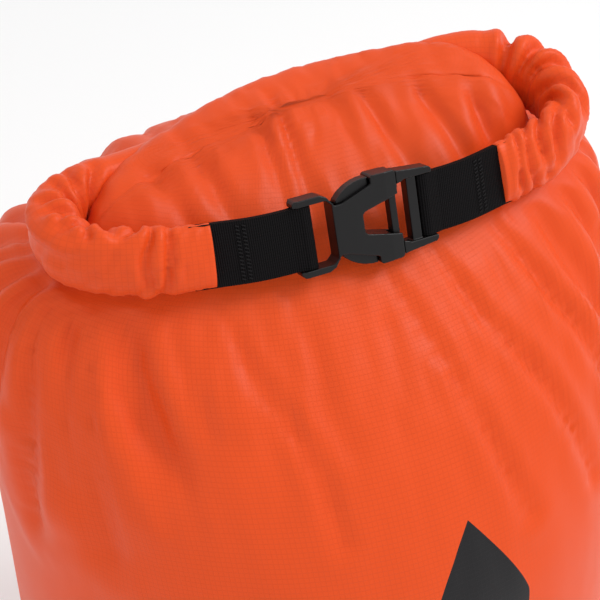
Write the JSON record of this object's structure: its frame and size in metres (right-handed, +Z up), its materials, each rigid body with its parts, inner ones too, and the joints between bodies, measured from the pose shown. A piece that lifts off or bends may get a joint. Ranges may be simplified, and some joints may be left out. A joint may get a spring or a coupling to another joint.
{
  "type": "roll-top dry bag",
  "caption": "Packed roll-top dry bag: round fabric body and base, mouth rolled shut and bent into a carry ring that is clipped with a side-release buckle.",
  "frame": {"origin": "centre of the round base, on the surface that the bag stands on", "axes": "+Z up, +X along the closing strap towards the buckle's plug, front (strap side) faces -Y"},
  "size_m": [0.288, 0.2888, 0.4255],
  "materials": {
    "coated_fabric": "fine ripstop weave, thin coating with a soft sheen",
    "webbing": "ribbed woven webbing",
    "thread": "dense stitching",
    "buckle_plastic": "fine moulded grain",
    "stiffener": "matt strip",
    "seam_tape": "welded tape",
    "packed_goods": "soft goods"
  },
  "bodies": {
    "bag": {"body_panel": "coated_fabric", "base_panel": "coated_fabric", "base_binding": "coated_fabric", "back_seam": "coated_fabric", "seam_tape": "seam_tape", "packed_load": "packed_goods", "roll_back": "coated_fabric", "stiffener_back": "stiffener", "roll_turn_left": "coated_fabric", "roll_turn_right": "coated_fabric"},
    "left_end": {"roll_end_left": "coated_fabric", "stiffener_left": "stiffener", "webbing_left": "webbing", "bartack_left": "thread", "buckle_socket": "buckle_plastic"},
    "right_end": {"roll_end_right": "coated_fabric", "stiffener_right": "stiffener"},
    "plug_end": {"webbing_right": "webbing", "bartack_right": "thread", "buckle_plug": "buckle_plastic"},
    "upper_arm": {"latch_arm_upper": "buckle_plastic"},
    "lower_arm": {"latch_arm_lower": "buckle_plastic"}
  },
  "joints": [
    {"name": "lift_left", "type": "hinge", "parent": "bag", "child": "left_end", "pos_m": [0, -0.012, 0.408], "axis": [-1, 0, 0], "range_deg": [0, 60]},
    {"name": "lift_right", "type": "hinge", "parent": "bag", "child": "right_end", "pos_m": [0, -0.012, 0.408], "axis": [-1, 0, 0], "range_deg": [0, 60]},
    {"name": "pull_plug", "type": "slide", "parent": "right_end", "child": "plug_end", "axis": [1, 0, 0], "range_m": [0, 0.03], "deforming": ["roll_end_right", "stiffener_right", "latch_arm_upper", "latch_arm_lower"]},
    {"name": "press_upper", "type": "hinge", "parent": "plug_end", "child": "upper_arm", "pos_m": [0.0093, -0.04003, 0.4159], "axis": [0, -0.9397, 0.342], "range_deg": [0, 8], "stiffness_Nm_per_rad": 0.2},
    {"name": "press_lower", "type": "hinge", "parent": "plug_end", "child": "lower_arm", "pos_m": [0.0093, -0.04797, 0.3941], "axis": [0, 0.9397, -0.342], "range_deg": [0, 8], "stiffness_Nm_per_rad": 0.2}
  ],
  "couplings": [
    {"joint": "lift_right", "follows": "lift_left", "ratio": 1}
  ]
}
